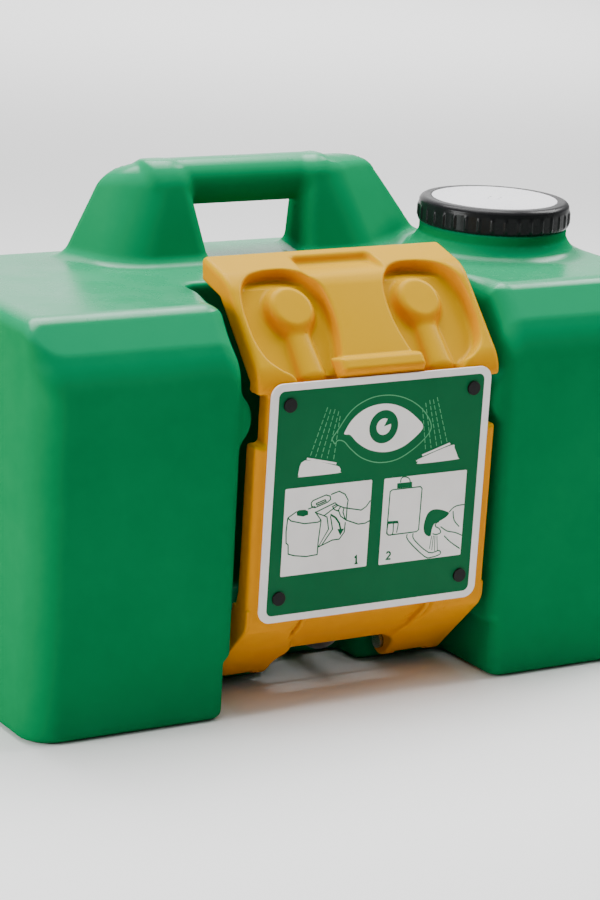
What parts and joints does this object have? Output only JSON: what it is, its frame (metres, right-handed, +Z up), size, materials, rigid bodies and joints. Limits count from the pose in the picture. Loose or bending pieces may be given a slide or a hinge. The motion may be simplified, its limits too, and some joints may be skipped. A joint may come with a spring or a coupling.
{
  "type": "portable eyewash station",
  "caption": "Portable gravity-fed eyewash tank with carrying handle, screw filler cap and a pull-down arm that carries the spray heads and a sign.",
  "frame": {"origin": "centre of the tank's flat base", "axes": "+Z up, +X along the tank's width to the right as seen from the front, -Y towards the user"},
  "size_m": [0.57, 0.2595, 0.3921],
  "materials": {
    "tank_green": "glossy moulded polyethylene",
    "arm_yellow": "glossy moulded polyethylene",
    "cap_black": "satin moulded",
    "label_grey": "speckled matt",
    "sign_green": "printed laminate",
    "rivet_black": "matt",
    "rubber_black": "matt",
    "hose_grey": "satin",
    "nylon_black": "satin",
    "nylon_white": "satin",
    "head_green": "glossy",
    "face_white": "glossy",
    "stainless": "brushed",
    "brass": "machined"
  },
  "bodies": {
    "tank": {"tank_shell": "tank_green", "bracket_inserts": "brass", "outlet_fitting": "nylon_black", "outlet_gasket": "rubber_black", "outlet_locknut": "nylon_black", "outlet_strainer": "nylon_white", "left_hinge_bracket": "nylon_black", "right_hinge_bracket": "nylon_black", "left_hinge_pin": "stainless", "right_hinge_pin": "stainless", "hinge_bracket_screws": "stainless", "tank_hose_clamp": "stainless", "supply_hose": "hose_grey"},
    "arm": {"arm_shell": "arm_yellow", "hinge_bushes": "nylon_white", "sign_plate": "sign_green", "sign_rivets": "rivet_black", "inlet_tee": "nylon_black", "inlet_tee_screws": "stainless", "left_riser_tube": "hose_grey", "right_riser_tube": "hose_grey", "riser_clamps": "stainless", "riser_clips": "nylon_white", "riser_clip_screws": "stainless", "left_spray_head": "head_green", "right_spray_head": "head_green", "left_flow_disc": "rubber_black", "right_flow_disc": "rubber_black", "left_spray_face": "face_white", "right_spray_face": "face_white", "arm_hose_clamp": "stainless"},
    "cap_liner": {"cap_gasket": "rubber_black"},
    "cap": {"fill_cap": "cap_black", "cap_label": "label_grey", "vent_valve": "rubber_black"}
  },
  "joints": [
    {"name": "arm_pull_down", "type": "hinge", "parent": "tank", "child": "arm", "pos_m": [0, -0.063, 0.021], "axis": [1, 0, 0], "range_deg": [0, 134], "deforming": ["supply_hose"]},
    {"name": "cap_lift", "type": "slide", "parent": "tank", "child": "cap_liner", "axis": [0, 0, 1], "range_m": [0, 0.0121]},
    {"name": "cap_turn", "type": "hinge", "parent": "cap_liner", "child": "cap", "pos_m": [0.2015, 0.0302, 0.352], "axis": [0, 0, 1], "range_deg": [0, 720]}
  ],
  "couplings": [
    {"joint": "cap_lift", "follows": "cap_turn", "m_per_rad": 0.00095493}
  ]
}
